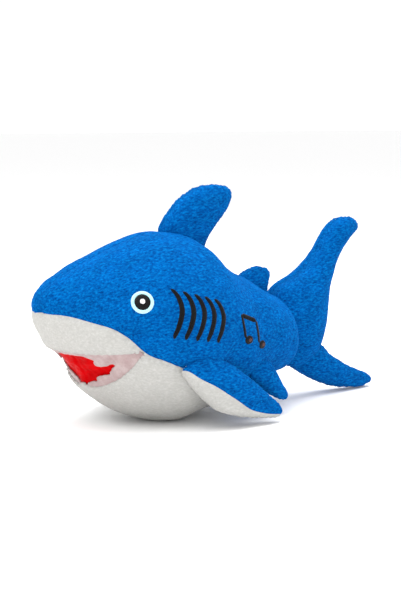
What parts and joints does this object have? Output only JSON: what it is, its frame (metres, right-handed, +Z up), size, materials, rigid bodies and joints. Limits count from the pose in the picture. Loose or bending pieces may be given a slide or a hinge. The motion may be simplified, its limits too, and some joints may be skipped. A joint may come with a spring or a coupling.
{
  "type": "stuffed plush shark",
  "caption": "Stuffed plush shark with a blue back, white belly, open lined mouth, stitched eyes and gills, seven fins and tail lobes, and a press-to-play sound unit inside.",
  "frame": {"origin": "middle of the flat patch of belly that the shark rests on", "axes": "+Z up towards the back, -Y towards the nose, +X towards the shark's left flank"},
  "size_m": [0.1452, 0.2953, 0.1573],
  "materials": {
    "blue_plush": "short pile plush, soft sheen",
    "white_plush": "short pile plush, soft sheen",
    "red_satin": "smooth satin",
    "pale_felt": "matte felt",
    "pale_blue_thread": "satin stitch",
    "black_thread": "satin stitch",
    "white_thread": "satin stitch",
    "stuffing": "polyester fibre",
    "closure_tape": "hook-and-loop tape",
    "pouch_cloth": "thin woven cloth",
    "module_plastic": "satin moulded plastic",
    "button_plastic": "moulded plastic",
    "steel": "bright steel",
    "board": "glass-fibre board",
    "speaker_plastic": "black plastic and paper"
  },
  "bodies": {
    "torso": {"side_panel_left": "blue_plush", "side_panel_right": "blue_plush", "snout_panel": "white_plush", "belly_panel": "white_plush", "mouth_lining": "red_satin", "teeth_left": "pale_felt", "teeth_right": "pale_felt", "eye_outline_left": "pale_blue_thread", "eye_outline_right": "pale_blue_thread", "eye_disc_left": "black_thread", "eye_disc_right": "black_thread", "eye_highlight_left": "white_thread", "eye_highlight_right": "white_thread", "gill_stitching_left": "black_thread", "gill_stitching_right": "black_thread", "music_note_stitching": "black_thread", "closure_loop_strip": "closure_tape", "closure_hook_strip": "closure_tape", "body_stuffing": "stuffing", "module_pouch": "pouch_cloth", "module_front_cover": "module_plastic", "module_back_cover": "module_plastic", "battery_door": "module_plastic", "battery_door_screw": "steel", "housing_screws": "steel", "circuit_board": "board", "button_cells": "steel", "battery_contacts": "steel", "speaker_magnet": "steel", "speaker_frame": "speaker_plastic", "speaker_cone": "speaker_plastic", "button_spring": "steel"},
    "push_button": {"push_button": "button_plastic"},
    "mode_switch": {"mode_switch": "button_plastic"},
    "dorsal_fin": {"dorsal_fin_panel_left": "blue_plush", "dorsal_fin_panel_right": "blue_plush", "dorsal_fin_stuffing": "stuffing"},
    "rear_dorsal_fin": {"rear_dorsal_fin_panel_left": "blue_plush", "rear_dorsal_fin_panel_right": "blue_plush", "rear_dorsal_fin_stuffing": "stuffing"},
    "tail": {"tail_panel_left": "blue_plush", "tail_panel_right": "blue_plush", "tail_stuffing": "stuffing"},
    "lower_tail_lobe": {"lower_tail_lobe_panel_left": "blue_plush", "lower_tail_lobe_panel_right": "blue_plush", "lower_tail_lobe_stuffing": "stuffing"},
    "pectoral_fin_left": {"pectoral_fin_top_panel_left": "blue_plush", "pectoral_fin_under_panel_left": "white_plush", "pectoral_fin_stuffing_left": "stuffing"},
    "pectoral_fin_right": {"pectoral_fin_top_panel_right": "blue_plush", "pectoral_fin_under_panel_right": "white_plush", "pectoral_fin_stuffing_right": "stuffing"},
    "pelvic_fin_left": {"pelvic_fin_top_panel_left": "blue_plush", "pelvic_fin_under_panel_left": "blue_plush", "pelvic_fin_stuffing_left": "stuffing"},
    "pelvic_fin_right": {"pelvic_fin_top_panel_right": "blue_plush", "pelvic_fin_under_panel_right": "blue_plush", "pelvic_fin_stuffing_right": "stuffing"}
  },
  "joints": [
    {"name": "dorsal_fin_flop", "type": "hinge", "parent": "torso", "child": "dorsal_fin", "pos_m": [0, 0.0145, 0.1246], "axis": [0, 0.9136, -0.4067], "range_deg": [-30, 30], "stiffness_Nm_per_rad": 0.05},
    {"name": "rear_dorsal_fin_flop", "type": "hinge", "parent": "torso", "child": "rear_dorsal_fin", "pos_m": [0, 0.08, 0.0836], "axis": [0, 0.8571, -0.5151], "range_deg": [-30, 30], "stiffness_Nm_per_rad": 0.01},
    {"name": "tail_sway", "type": "hinge", "parent": "torso", "child": "tail", "pos_m": [0, 0.103, 0.054], "axis": [0, 0, 1], "range_deg": [-20, 20], "stiffness_Nm_per_rad": 0.4},
    {"name": "lower_lobe_bend", "type": "hinge", "parent": "tail", "child": "lower_tail_lobe", "pos_m": [0, 0.132, 0.025], "axis": [0, 0.891, 0.454], "range_deg": [-20, 20], "stiffness_Nm_per_rad": 0.08},
    {"name": "pectoral_fin_left_spread", "type": "hinge", "parent": "torso", "child": "pectoral_fin_left", "pos_m": [0.0615, -0.006, 0.028], "axis": [-0.3292, 0.2594, -0.9079], "range_deg": [0, 40], "stiffness_Nm_per_rad": 0.12},
    {"name": "pectoral_fin_right_spread", "type": "hinge", "parent": "torso", "child": "pectoral_fin_right", "pos_m": [-0.0615, -0.006, 0.028], "axis": [-0.3292, -0.2594, 0.9079], "range_deg": [0, 40], "stiffness_Nm_per_rad": 0.12},
    {"name": "pelvic_fin_left_lift", "type": "hinge", "parent": "torso", "child": "pelvic_fin_left", "pos_m": [0.0385, 0.054, 0.027], "axis": [-0.4529, -0.785, -0.4227], "range_deg": [-5, 35], "stiffness_Nm_per_rad": 0.015},
    {"name": "pelvic_fin_right_lift", "type": "hinge", "parent": "torso", "child": "pelvic_fin_right", "pos_m": [-0.0385, 0.054, 0.027], "axis": [-0.4529, 0.785, 0.4227], "range_deg": [-5, 35], "stiffness_Nm_per_rad": 0.015},
    {"name": "button_press", "type": "slide", "parent": "torso", "child": "push_button", "axis": [-1, 0, 0], "range_m": [0, 0.0015], "stiffness_N_per_m": 400, "springref_m": -0.0008, "deforming": ["button_spring"]},
    {"name": "mode_switch_slide", "type": "slide", "parent": "torso", "child": "mode_switch", "axis": [0, 1, 0], "range_m": [0, 0.003]}
  ]
}
